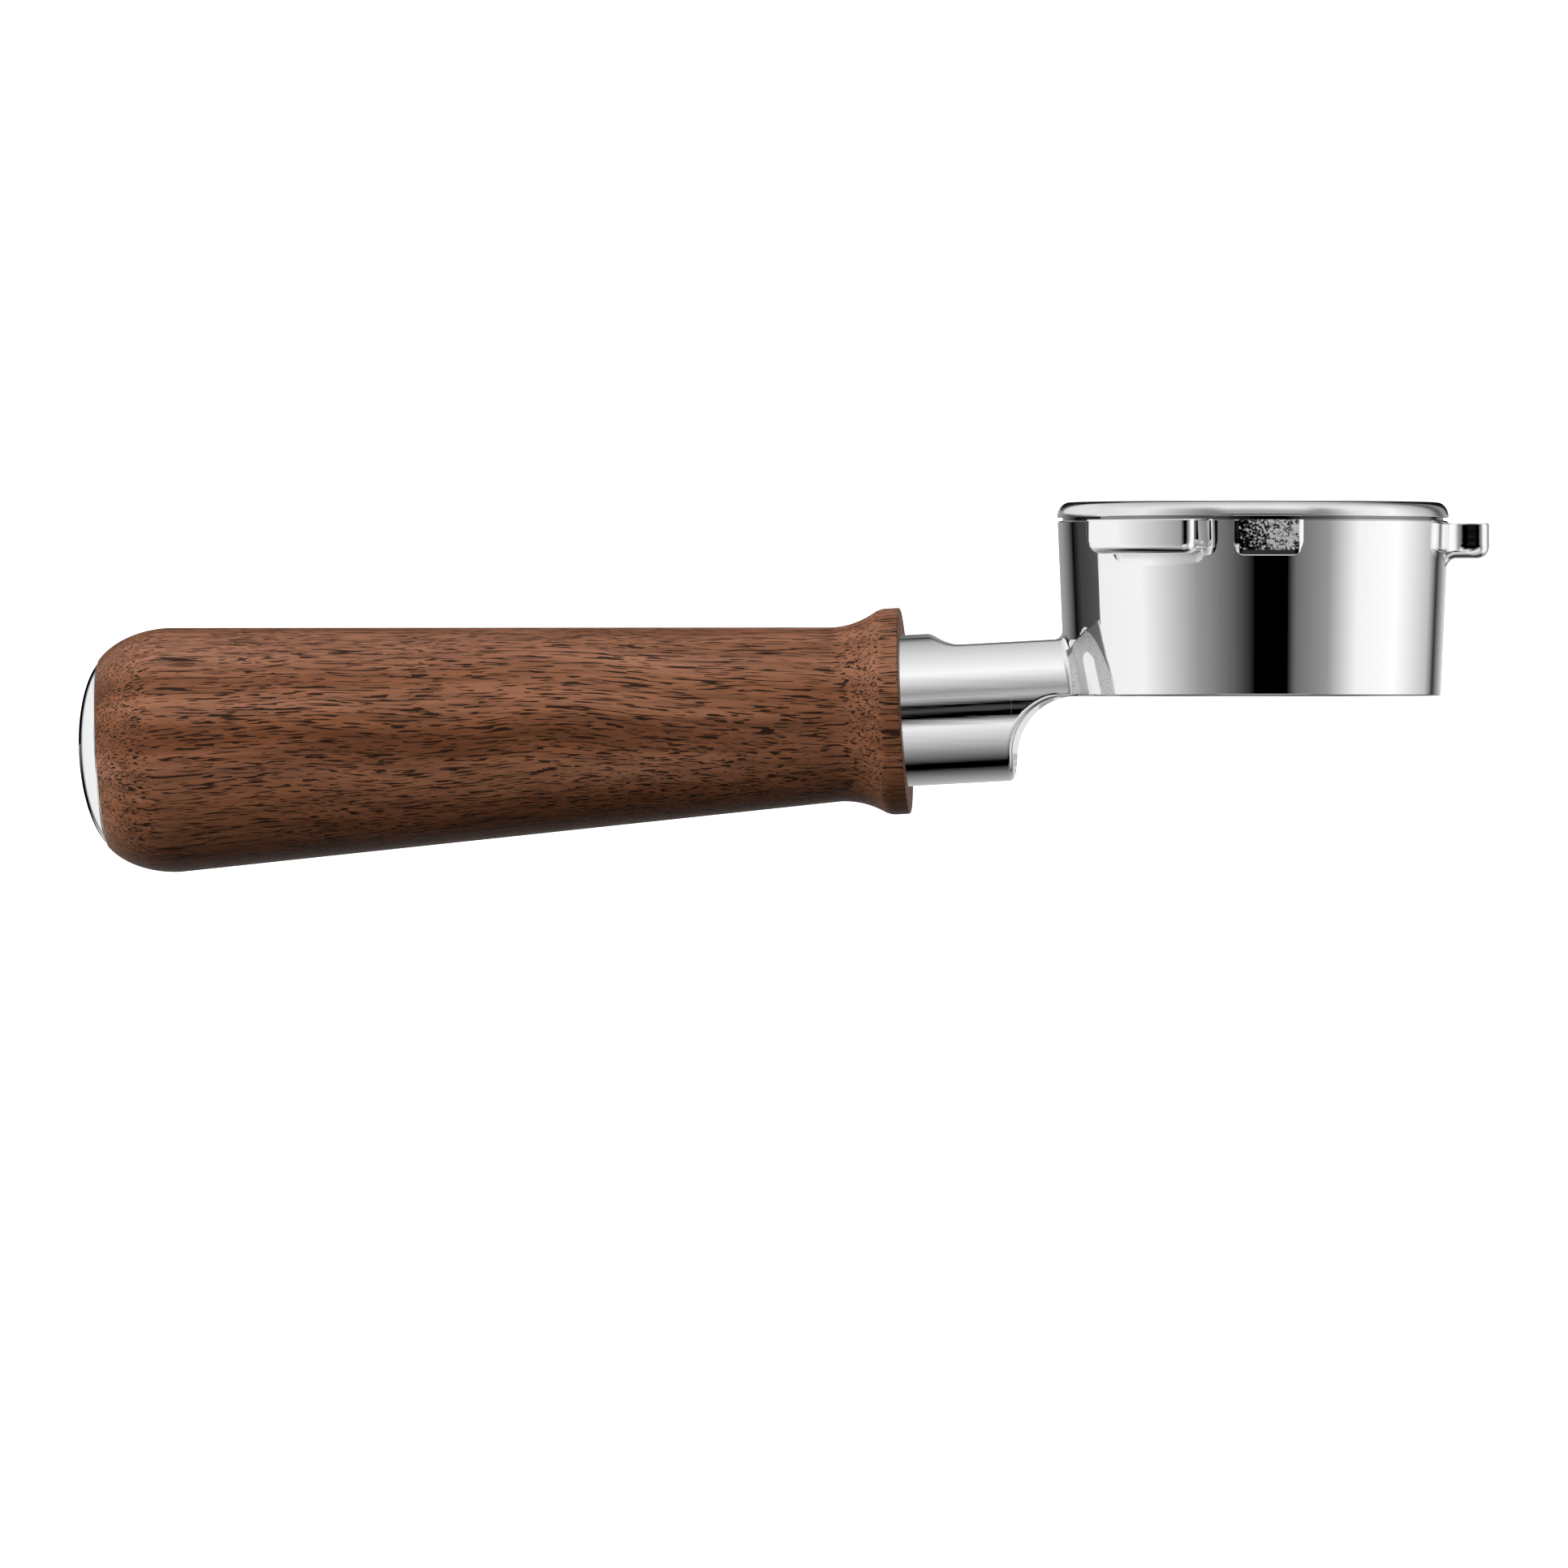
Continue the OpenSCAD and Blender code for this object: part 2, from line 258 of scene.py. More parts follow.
class Nodes:
    """A node tree with short calls for adding and linking nodes."""

    def __init__(self, tree):
        self.tree = tree

    def add(self, kind, inputs=None, **settings):
        node = self.tree.nodes.new(kind)
        for key, value in settings.items():
            setattr(node, key, value)
        for key, value in (inputs or {}).items():
            self.put(node, key, value)
        return node

    def put(self, node, socket, value):
        if isinstance(value, bpy.types.NodeSocket):
            self.tree.links.new(value, node.inputs[socket])
        else:
            node.inputs[socket].default_value = value

    def math(self, operation, *values, clamp=False):
        inputs = dict(enumerate(values))
        return self.add("ShaderNodeMath", inputs, operation=operation, use_clamp=clamp).outputs[0]

    def ease(self, value, start, stop):
        """0 at start to 1 at stop, straight between them."""
        slope = 1 / (stop - start)
        return self.math("MULTIPLY_ADD", value, slope, -start * slope, clamp=True)

    def below(self, height, level):
        """1 where a height in mm lies under a level, softened over a quarter of a millimetre."""
        return self.math("MULTIPLY", self.math("SUBTRACT", level, height), 4.0, clamp=True)

    def vector(self, operation, a, b):
        return self.add("ShaderNodeVectorMath", {0: a, 1: b}, operation=operation).outputs

    def ramp(self, value, *stops):
        node = self.add("ShaderNodeValToRGB", {"Fac": value})
        elements = node.color_ramp.elements
        while len(elements) < len(stops):
            elements.new(0.5)
        for element, (position, color) in zip(elements, stops, strict=True):
            element.position = position
            element.color = (*color, 1) if isinstance(color, tuple) else (color, color, color, 1)
        return node.outputs[0]

    def noise(self, vector, scale, detail=4.0, roughness=0.5):
        inputs = {"Vector": vector, "Scale": scale, "Detail": detail, "Roughness": roughness}
        return self.add("ShaderNodeTexNoise", inputs).outputs["Fac"]

    def position(self):
        return self.add("ShaderNodeTexCoord").outputs["Object"]

    def split_mm(self, place):
        """The three coordinates of a place, in mm."""
        scaled = self.add("ShaderNodeVectorMath", {0: place, "Scale": 1 / MM}, operation="SCALE")
        return self.add("ShaderNodeSeparateXYZ", {"Vector": scaled.outputs[0]}).outputs

    def scaled(self, vector, x, y, z, turn=0.0):
        """The vector turned about Y and stretched, so that noise follows the grain."""
        inputs = {"Vector": vector, "Rotation": (0.0, turn, 0.0), "Scale": (x, y, z)}
        return self.add("ShaderNodeMapping", inputs).outputs[0]

    def mix(self, factor, a, b):
        node = self.add("ShaderNodeMix", data_type="RGBA")
        for socket, value in ((0, factor), (6, a), (7, b)):
            if isinstance(value, tuple):
                value = (*value, 1)
            self.put(node, socket, value)
        return node.outputs[2]

    def blend(self, factor, a, b):
        node = self.add("ShaderNodeMix", data_type="FLOAT")
        for socket, value in ((0, factor), (2, a), (3, b)):
            self.put(node, socket, value)
        return node.outputs[0]

    def bump(self, height, distance, strength=1.0, normal=None):
        inputs = {"Height": height, "Distance": distance, "Strength": strength}
        if normal is not None:
            inputs["Normal"] = normal
        return self.add("ShaderNodeBump", inputs).outputs[0]


class Material(Nodes):
    """A material with its node tree and its shader."""

    def __init__(self, name):
        self.material = bpy.data.materials.new(name)
        self.material.use_nodes = True
        super().__init__(self.material.node_tree)
        self.shader = self.tree.nodes["Principled BSDF"]

    def shade(self, **values):
        for key, value in values.items():
            self.put(self.shader, key.replace("_", " "), value)


def root_patch(n, place, turn, reach, z):
    """Masks of the rough patch round the neck's root, less its polished pane, and of its top."""
    ragged = n.math("MULTIPLY_ADD", n.noise(place, 300.0), 1.2, -0.6)
    edge = n.math("ADD", n.math("MULTIPLY_ADD", z, -ROOT_SPREAD, ROOT_TURN), ragged)
    inside = n.math("SUBTRACT", edge, turn, clamp=True)
    under = n.below(z, n.math("MULTIPLY_ADD", turn, ROOT_RISE, ROOT_TOP))
    near = n.ease(reach, 31.0, 30.75)
    patch = n.math("MULTIPLY", n.math("MULTIPLY", inside, under), near)
    middle = n.math("MULTIPLY_ADD", z, -PANE_SPREAD, PANE_TURN)
    aside = n.math("ABSOLUTE", n.math("SUBTRACT", turn, middle))
    pane_top = n.math("MULTIPLY_ADD", n.math("MULTIPLY", aside, aside), -0.09, PANE_TOP)
    pane = n.math("MULTIPLY", n.ease(aside, PANE_HALF, PANE_HALF - 0.5), n.below(z, pane_top))
    patch = n.math("SUBTRACT", patch, pane, clamp=True)
    bend = n.math("SUBTRACT", turn, 30.0)
    arch = n.math("MULTIPLY_ADD", n.math("MULTIPLY", bend, bend), -0.0375, -17.6)
    return patch, n.below(arch, z)


def chrome_material():
    """Mirror plating, rough as cast on the stop block's face and round the neck's root, with
    painted shade under the rim and along the ring's bottom edge.
    """
    n = Material("polished_plating")
    place = n.position()
    x, y, z = n.split_mm(place)
    turn = n.math("DEGREES", n.math("ARCTAN2", n.math("ABSOLUTE", y), n.math("MULTIPLY", x, -1.0)))
    reach = n.math("SQRT", n.math("MULTIPLY_ADD", x, x, n.math("MULTIPLY", y, y)))
    block = n.add("ShaderNodeAttribute", attribute_name="cast").outputs["Fac"]
    root, root_top = root_patch(n, place, turn, reach, z)

    # Painted shade: the plating is coloured dark under the rim and in the thin line along the
    # ring's bottom edge
    recess = n.ease(z, -0.02, -0.01)
    lowest = n.ease(z, 0.2 - RING_DEPTH, 0.15 - RING_DEPTH)
    outer = n.ease(reach, RING_BOTTOM_R - 0.3, RING_BOTTOM_R - 0.2)
    away = n.ease(turn, 34.0, 35.0)
    painted_shade_lines = n.math("MAXIMUM", recess, n.math("MULTIPLY", away, n.math("MULTIPLY", outer, lowest)))

    # The block's casting marks, deeper away from the handle, with the highest ones pale
    worms = n.noise(place, 2100.0, detail=1.0)
    depth = n.math("MULTIPLY_ADD", x, 0.17, 0.25, clamp=True)
    patchy = n.math("MULTIPLY", n.ramp(n.noise(place, 420.0), (0.35, 0.4), (0.6, 1.0)), depth)
    crest = n.ramp(n.math("MULTIPLY_ADD", depth, 0.17, worms), (0.60, 0.0), (0.74, 1.0))
    frost = n.math("MULTIPLY", n.math("MULTIPLY", crest, block), 0.85)

    flecks = n.noise(place, 2400.0, detail=3.0, roughness=0.6)
    root_color = n.ramp(flecks, (0.35, (0.50, 0.50, 0.505)), (0.65, (0.66, 0.66, 0.66)))
    root_color = n.mix(root_top, root_color, (0.20, 0.20, 0.20))
    plate = n.mix(block, (PLATING, PLATING, PLATING + 0.005), (0.80, 0.80, 0.80))
    # Painted shade: dark grey plating colour under the rim and along the ring's bottom edge
    plate = n.mix(painted_shade_lines, plate, (0.24, 0.24, 0.24))
    polish = n.ramp(n.noise(place, 180.0, detail=3.0), (0.35, 0.025), (0.75, 0.06))
    block_polish = n.ramp(n.noise(place, 5200.0, detail=2.0), (0.3, 0.04), (0.7, 0.09))
    rough = n.blend(block, polish, block_polish)
    n.shade(
        Base_Color=n.mix(root, plate, root_color),
        Metallic=n.math("SUBTRACT", 1.0, frost),
        Roughness=n.blend(root, rough, 0.38),
    )

    strength = n.math("MULTIPLY", n.math("MULTIPLY_ADD", patchy, 0.93, 0.07), block)
    casting = n.bump(n.math("MULTIPLY", worms, strength), 0.00018, 1.0)
    casting = n.bump(n.math("MULTIPLY", flecks, root), 0.00006, 1.0, casting)
    lug = n.ease(reach, 32.4, 32.9)
    strokes = n.noise(n.scaled(place, 55.0, 55.0, 900.0), 1.0, detail=3.0)
    n.shade(Normal=n.bump(n.math("MULTIPLY", strokes, lug), 0.000022, 1.0, casting))
    return n.material


def cap_material():
    """Mirror polish with a faint haze."""
    n = Material("polished_cap")
    place = n.position()
    haze = n.noise(place, 220.0, detail=3.0)
    n.shade(
        Base_Color=(0.98, 0.98, 0.985, 1.0),
        Metallic=1.0,
        Roughness=n.ramp(haze, (0.35, 0.03), (0.75, 0.08)),
    )
    return n.material


def basket_material():
    """Satin drawn steel with fine lines round the basket's axis."""
    n = Material("satin_steel")
    place = n.position()
    x, y, z = n.add("ShaderNodeSeparateXYZ", {"Vector": place}).outputs
    radius = n.math("SQRT", n.math("ADD", n.math("POWER", x, 2.0), n.math("POWER", y, 2.0)))
    around = n.add("ShaderNodeCombineXYZ", {"X": radius, "Y": z}).outputs[0]
    lines = n.noise(around, 9000.0, detail=3.0, roughness=0.7)
    grain = n.noise(place, 3500.0, detail=3.0)
    blotch = n.noise(place, 160.0, detail=2.0)
    n.shade(
        Base_Color=n.ramp(blotch, (0.3, (0.80, 0.795, 0.79)), (0.7, (0.88, 0.875, 0.87))),
        Metallic=1.0,
        Roughness=n.ramp(grain, (0.3, 0.11), (0.7, 0.21)),
    )
    bump = n.bump(lines, 0.000012, 0.5)
    n.shade(Normal=n.bump(grain, 0.00001, 0.5, bump))
    return n.material


def plain_steel_material(name, low, high, rough_low, rough_high):
    """Machined or drawn steel with speckle in colour and gloss."""
    n = Material(name)
    place = n.position()
    speckle = n.noise(place, 900.0, detail=4.0)
    n.shade(
        Base_Color=n.ramp(speckle, (0.3, low), (0.7, high)),
        Metallic=1.0,
        Roughness=n.ramp(speckle, (0.3, rough_low), (0.7, rough_high)),
    )
    n.shade(Normal=n.bump(speckle, 0.00001, 0.5))
    return n.material


def rubber_material():
    n = Material("seal_rubber")
    speckle = n.noise(n.position(), 2500.0, detail=3.0)
    n.shade(
        Base_Color=n.ramp(speckle, (0.3, (0.018, 0.018, 0.018)), (0.7, (0.032, 0.031, 0.03))),
        Roughness=n.ramp(speckle, (0.3, 0.55), (0.7, 0.75)),
    )
    n.shade(Normal=n.bump(speckle, 0.00002, 0.6))
    return n.material


def walnut_material():
    """Oiled walnut: soft bands, fibre streaks and open pores that run along the handle, with a
    painted dark reflection in one band, painted shade on the lower side and painted sheen on the
    top.
    """
    n = Material("oiled_walnut")
    place = n.position()
    wave = n.noise(place, 14.0, detail=2.0)
    drift = n.add("ShaderNodeCombineXYZ", {"Z": n.math("MULTIPLY", wave, 0.012)}).outputs[0]
    grain = n.vector("ADD", place, drift)[0]
    bands = n.noise(n.scaled(grain, 6.0, 60.0, 95.0, TILT), 1.0, detail=3.0, roughness=0.5)
    streaks = n.noise(n.scaled(grain, 30.0, 900.0, 900.0, TILT), 1.0, detail=4.0, roughness=0.6)
    long_pores = n.noise(n.scaled(grain, 150.0, 3500.0, 3500.0, TILT), 1.0, detail=0.0)
    fine_pores = n.noise(n.scaled(grain, 260.0, 4800.0, 4800.0, TILT), 1.0, detail=0.0)
    dots = n.noise(place, 6500.0, detail=1.0)
    along, _, height = n.add("ShaderNodeSeparateXYZ", {"Vector": grain}).outputs
    # Painted dark reflection: a darker band that runs along the handle, mixed into the wood's
    # colour
    rise = n.math("MULTIPLY_ADD", along, -0.083, height)
    painted_dark_band = n.math("ABSOLUTE", n.math("ADD", rise, 0.0204))
    painted_dark_band = n.ramp(n.math("MULTIPLY", painted_dark_band, 100.0), (0.08, 1.0), (0.32, 0.0))
    base = n.ramp(
        bands,
        (0.28, (0.160, 0.053, 0.022)),
        (0.42, (0.265, 0.103, 0.049)),
        (0.55, (0.355, 0.152, 0.083)),
        (0.70, (0.450, 0.214, 0.135)),
    )
    base = n.mix(n.math("MULTIPLY", painted_dark_band, 0.35), base, (0.120, 0.045, 0.022))
    fibre = n.ramp(streaks, (0.34, 0.66), (0.62, 1.12))
    toned = n.add("ShaderNodeVectorMath", {0: base, "Scale": fibre}, operation="SCALE").outputs[0]
    # Painted light: the wood's colour turns darker and warmer towards the bottom as painted shade,
    # and paler and cooler towards the top as painted sheen
    upper = n.math("MULTIPLY_ADD", rise, 25.0, 1.01, clamp=True)
    painted_light_tint = n.mix(upper, (0.94, 0.83, 0.64), (1.0, 1.04, 1.10))
    toned = n.vector("MULTIPLY", toned, painted_light_tint)[0]
    long_pore = n.ramp(long_pores, (0.33, 1.0), (0.35, 0.0))
    fine_pore = n.ramp(fine_pores, (0.31, 1.0), (0.335, 0.0))
    pore = n.math("MAXIMUM", long_pore, fine_pore)
    n.shade(
        Base_Color=n.mix(n.math("MULTIPLY", pore, 0.94), toned, (0.018, 0.008, 0.005)),
        Roughness=n.ramp(dots, (0.3, 0.36), (0.7, 0.52)),
    )
    n.shader.inputs["Specular IOR Level"].default_value = 0.12
    relief = n.math("MULTIPLY_ADD", dots, 0.12, n.math("MULTIPLY", pore, -1.0))
    n.shade(Normal=n.bump(relief, 0.00010, 0.7))
    return n.material


# ---------------------------------------------------------------- turned pieces


def wall_r(z):
    """Radius of the holder ring's outer wall at height z."""
    return RING_TOP_R + (RING_BOTTOM_R - RING_TOP_R) * -z / RING_DEPTH


def handle_profile():
    """Closed section of the turned wood: outline, counterbore, stud bore, tenon hole, recess."""
    flare = 32.0
    convex_r = 3.8
    land = 2.2
    concave_r = (COLLAR_R - WAIST_R) / (1 - math.cos(math.radians(flare))) - convex_r
    waist = land + (convex_r + concave_r) * math.sin(math.radians(flare))
    shoulder_b, shoulder_a, shoulder_s = 8.6, 12.9, 117.3
    stop = math.degrees(math.asin((WOOD_LEN - shoulder_s) / shoulder_a))
    counterbore_r, counterbore_s = 11.5, 104.0
    stud_bore_r = 5.5
    tenon_r, tenon_s = 8.05, 23.5
    recess_r, recess_s = 12.15, 4.0
    return np.concatenate(
        (
            arc(COLLAR_R - 0.35, 0.35, 0.35, 0.35, -90, 0, 5),
            arc(COLLAR_R - convex_r, land, convex_r, convex_r, 0, flare, 12),
            arc(WAIST_R + concave_r, waist, concave_r, concave_r, 180 + flare, 180, 20)[1:],
            line((WAIST_R, waist), (GRIP_R, shoulder_s), 30)[:-1],
            arc(GRIP_R - shoulder_b, shoulder_s, shoulder_b, shoulder_a, 0, stop, 24),
            [(counterbore_r, WOOD_LEN), (counterbore_r, counterbore_s)],
            [(stud_bore_r, counterbore_s), (stud_bore_r, tenon_s), (tenon_r, tenon_s)],
            [(tenon_r, recess_s), (recess_r, recess_s), (recess_r, 0.2), (recess_r + 0.2, 0.0)],
        )
    )


def cap_profile():
    """Closed section of the end cap: spigot, o-ring groove and dome."""
    dome_b, dome_a = 15.9, 6.3
    base = WOOD_LEN + 0.35
    start = math.degrees(math.acos(CAP_R / dome_b))
    centre = base - dome_a * math.sin(math.radians(start))
    groove_s = WOOD_LEN - 4.0
    return np.concatenate(
        (
            [(0.0, WOOD_LEN - 8.0), (11.0, WOOD_LEN - 8.0), (11.4, WOOD_LEN - 7.6)],
            arc(11.4, groove_s, 0.95, 0.95, 270, 90, 12),
            [(11.4, base - 0.2), (CAP_R - 0.35, base - 0.2)],
            arc(CAP_R - 0.2, base - 0.05, 0.18, 0.15, -90, 0, 3),
            arc(0.0, centre, dome_b, dome_a, start, 90, 40),
        )
    )


def ring_bore_profile():
    """Inside of the holder ring from its bottom edge up to the seat's outer foot."""
    groove_r, seat_r = 0.8, RIM_ROUND - SHEET - 0.05
    seat_x, seat_z = RIM_R - RIM_ROUND, RIM_TOP - RIM_ROUND
    edge = math.degrees(math.acos(0.5 / groove_r))
    top = seat_z + seat_r
    return np.concatenate(
        (
            arc(BORE_R + 0.3, -RING_DEPTH + 0.3, 0.3, 0.3, 270, 180, 4),
            arc(CLIP_R, CLIP_Z, groove_r, groove_r, edge - 180, 180 - edge, 16),
            arc(BORE_R + 0.35, top - 0.35, 0.35, 0.35, 180, 90, 4),
            arc(seat_x, seat_z, seat_r, seat_r, 90, 0, 10),
            [(seat_x + seat_r, 0.0)],
        )
    )


def basket_profile():
    """Open section of the basket's sheet, from the floor's top to its underside."""
    bend = RIM_ROUND - SHEET
    seat_x, seat_z = RIM_R - RIM_ROUND, RIM_TOP - RIM_ROUND
    mouth_x, mouth_z = BASKET_R + MOUTH_ROUND, RIM_TOP - MOUTH_ROUND
    corner_x, corner_z = BASKET_R - FLOOR_ROUND, FLOOR_Z + SHEET + FLOOR_ROUND
    outer = FLOOR_ROUND + SHEET
    return np.concatenate(
        (
            arc(corner_x, corner_z, FLOOR_ROUND, FLOOR_ROUND, -90, 0, 12),
            arc(mouth_x, mouth_z, MOUTH_ROUND, MOUTH_ROUND, 180, 90, 10),
            arc(seat_x, RIM_LIP + 0.1, RIM_ROUND, RIM_TOP - RIM_LIP - 0.1, 90, 0, 24),
            arc(RIM_R - 0.1, RIM_LIP + 0.1, 0.1, 0.1, 0, -90, 3),
            arc(RIM_R - SHEET + 0.15, RIM_LIP + 0.15, 0.15, 0.15, 270, 180, 3),
            arc(seat_x, seat_z, bend, bend, 0, 90, 12),
            arc(mouth_x, mouth_z, MOUTH_ROUND - SHEET, MOUTH_ROUND - SHEET, 90, 180, 6),
            arc(corner_x, corner_z, outer, outer, 0, -90, 12),
        )
    )


def perforated_floor(turn):
    """Points and faces of the floor's two sides and of the walls of its holes."""
    radius = BASKET_R - FLOOR_ROUND
    sides = 12
    around = np.linspace(0, 2 * math.pi, sides, endpoint=False)
    centres = [(0.0, 0.0)]
    for ring in range(1, HOLE_RINGS + 1):
        step = np.arange(6 * ring) * math.pi / (3 * ring)
        centres += list(zip(ring * HOLE_PITCH * np.cos(step), ring * HOLE_PITCH * np.sin(step)))
    centres = np.array(centres)
    rims = centres[:, None, :] + HOLE_R * np.column_stack((np.cos(around), np.sin(around)))
    outline = radius * np.column_stack((np.cos(turn), np.sin(turn)))
    flat = np.concatenate((outline, rims.reshape(-1, 2)))
    loops = [list(range(len(turn)))]
    for k in range(len(centres)):
        first = len(turn) + k * sides
        loops.append(list(range(first + sides - 1, first - 1, -1)))
    cut = delaunay_2d_cdt([Vector(p) for p in flat], [], loops, 0, 1e-5, True)
    middles = [np.mean([cut[0][v] for v in face], axis=0) for face in cut[2]]
    kept = []
    for face, middle in zip(cut[2], middles):
        if np.min(np.hypot(*(centres - middle).T)) > 0.9 * HOLE_R:
            kept.append(list(face))
    plan = np.array([tuple(v) for v in cut[0]])
    top = np.column_stack((plan, np.full(len(plan), FLOOR_Z + SHEET)))
    low = np.column_stack((plan, np.full(len(plan), FLOOR_Z)))
    count = len(plan)
    faces = kept + [[v + count for v in reversed(face)] for face in kept]
    uses = {}
    for face in kept:
        for a, b in zip(face, face[1:] + face[:1]):
            uses[(min(a, b), max(a, b))] = uses.get((min(a, b), max(a, b)), 0) + 1
    reach = np.hypot(plan[:, 0], plan[:, 1])
    for (a, b), times in uses.items():
        if times == 1 and min(reach[a], reach[b]) < radius - 0.5:
            faces.append([a, b, b + count, a + count])
    return np.concatenate((top, low)), faces


def filter_basket():
    segments = 256
    turn = np.linspace(0, 2 * math.pi, segments, endpoint=False)
    profile = basket_profile()
    shell = round_z(profile[:, 0], profile[:, 1], turn).reshape(-1, 3)
    faces = grid_faces(segments, len(profile), True, False)
    floor, floor_faces = perforated_floor(turn)
    faces += [[v + len(shell) for v in face] for face in floor_faces]
    return make_object("basket_sheet", np.concatenate((shell, floor)), faces)


def clip_wire():
    """Wire of the spring clip, open at the handle's side, with its ends a little thinner."""
    wire_r, span = 0.7, math.radians(300)
    turn = np.linspace(-span / 2, span / 2, 181)
    angles = np.linspace(0, 2 * math.pi, 20, endpoint=False)
    shrink = np.ones_like(turn)
    shrink[[0, -1]] = 0.75
    ring = np.column_stack((np.cos(turn), np.sin(turn), np.zeros_like(turn)))
    r = CLIP_R + wire_r * shrink[:, None] * np.cos(angles)
    z = CLIP_Z + wire_r * shrink[:, None] * np.sin(angles)
    points = ring[:, None, :] * r[:, :, None] + np.array((0, 0, 1.0)) * z[:, :, None]
    faces = grid_faces(len(turn), len(angles), False, True)
    last = (len(turn) - 1) * len(angles)
    faces += [list(range(len(angles))), list(range(last, last + len(angles)))]
    return make_object("clip_wire", points.reshape(-1, 3), faces, 50.0)


# ---------------------------------------------------------------- holder casting


def lug_outline(width, pad, root_r):
    """Half plan of a lug as (along, across) points from the plain ring to the lug's middle."""
    half = width / 2
    corner_r = 1.9
    base = RING_TOP_R + pad
    root = (math.sqrt((base + root_r) ** 2 - (half + root_r) ** 2), half + root_r)
    corner = (math.sqrt((LUG_R - corner_r) ** 2 - (half - corner_r) ** 2), half - corner_r)
    root_deg = math.degrees(math.atan2(root[1], root[0]))
    corner_deg = math.degrees(math.atan2(corner[1], corner[0]))
    parts = [
        arc(*root, root_r, root_r, 180 + root_deg, 270, 14),
        line((root[0], half), (corner[0], half), 10)[:-1],
        arc(*corner, corner_r, corner_r, 90, corner_deg, 14),
        arc(0, 0, LUG_R, LUG_R, corner_deg, 0, max(4, int(corner_deg * 1.5)))[1:],
    ]
    if pad:
        rise = np.linspace(0, 1, 12)
        start_deg = 24.4
        edge_deg = start_deg - math.degrees(2.4 / RING_TOP_R) * rise
        edge_r = RING_TOP_R + pad * rise**2 * (3 - 2 * rise)
        edge = np.column_stack(
            (edge_r * np.cos(np.radians(edge_deg)), edge_r * np.sin(np.radians(edge_deg)))
        )
        flat = arc(0, 0, base, base, edge_deg[-1], root_deg, 8)[1:-1]
        parts = [edge, flat] + parts
    return np.concatenate(parts)


def mirrored(half_outline):
    """Both halves of an outline, by falling direction."""
    return np.concatenate((half_outline, half_outline[-2::-1] * (1, -1)))


def plain_sample(direction):
    """Section of the ring's outside in one direction, here without a lug or a block, in mm.

    r is the radius below the top edge, where bevel and drop are the edge's width and height. The
    outside is upright where face is 1, and follows the tapered wall where it is 0. edge rounds a
    lug's upper edge. low is the height of its underside, whose outer edge is rounded by rx and rz,
    or cut straight where chord is 1. fx and fz are the fillet below it, straight where slant is 1.
    """
    return {
        "dir": direction, "r": RING_TOP_R, "low": -LUG_H, "bevel": TOP_BEVEL, "drop": TOP_BEVEL,
        "edge": 0.0, "rx": 0.0, "rz": 1.75, "chord": 0.0, "fx": 0.0, "fz": 1.9, "slant": 0.0,
        "face": 0.0,
    }


def lug_samples(direction, width, drop, pad, root_r):
    """Samples of one lug, whose lower edge rises at both ends."""
    samples = []
    outline = mirrored(lug_outline(width, pad, root_r))
    root_deg = math.degrees(math.atan2(outline[0][1], outline[0][0]))
    half = width / 2
    for along, across in outline:
        turn = math.degrees(math.atan2(across, along))
        r = math.hypot(along, across)
        over = r - RING_TOP_R
        fading = TOP_BEVEL * (1 - min(1.0, over / TOP_BEVEL))
        middle = math.sqrt(max(0.0, 1 - (turn / root_deg) ** 2))
        end_round = 2.6 if across > 0 and not pad else 1.3
        past = min(1.0, max(0.0, abs(across) - half + end_round) / end_round)
        root = min(1.0, max(0.0, abs(across) - half) / (outline[0][1] - half))
        rise = 0.75 * end_round * (1 - math.sqrt(1 - past**2))
        rise += 1.9 * root**3 * (1.0 if across < 0 else 0.3)
        sample = plain_sample(direction - turn)
        sample.update(
            r=r,
            low=-LUG_H - drop + rise,
            bevel=TOP_BEVEL if drop else fading,
            drop=max(drop, TOP_BEVEL) if drop else fading,
            edge=min(0.3, 0.4 * over),
            rx=min(1.9, 0.45 * over),
            fx=min(1.6, 0.45 * over) if pad else min(0.65, 0.3 * over),
            fz=0.25 + 1.7 * middle,
            slant=0.0 if pad else 0.85,
            face=min(1.0, over / 1.2),
        )
        samples.append(sample)
    return samples


def block_samples():
    """Stop block: a flat face with a bevel on three sides and rounded lower corners."""
    half = BLOCK_W / 2
    front = RING_TOP_R + BLOCK_OUT
    foot = math.sqrt(RING_TOP_R**2 - half**2)
    side = line((foot, half), (front - BLOCK_BEVEL, half), 4)
    bevel = line((front - BLOCK_BEVEL, half), (front, half - BLOCK_BEVEL), 3)
    face = line((front, half - BLOCK_BEVEL), (front, 0.0), 24)
    outline = mirrored(np.concatenate(([(foot, half)], side, bevel, face)))
    samples = []
    for along, across in outline:
        past = max(0.0, abs(across) - (half - BLOCK_CORNER))
        corner = BLOCK_CORNER - math.sqrt(max(0.0, BLOCK_CORNER**2 - past**2))
        over = math.hypot(along, across) - RING_TOP_R
        sample = plain_sample(BLOCK_DIR - math.degrees(math.atan2(across, along)))
        sample.update(
            r=math.hypot(along, across),
            low=-LUG_H + corner,
            bevel=0.12,
            drop=0.12,
            rx=BLOCK_BEVEL * min(1.0, max(0.0, over) / BLOCK_OUT),
            rz=BLOCK_BEVEL,
            chord=1.0,
            fx=0.12 * min(1.0, max(0.0, over)),
            fz=0.25,
            face=min(1.0, max(0.0, over) / 0.4),
        )
        samples.append(sample)
    return samples


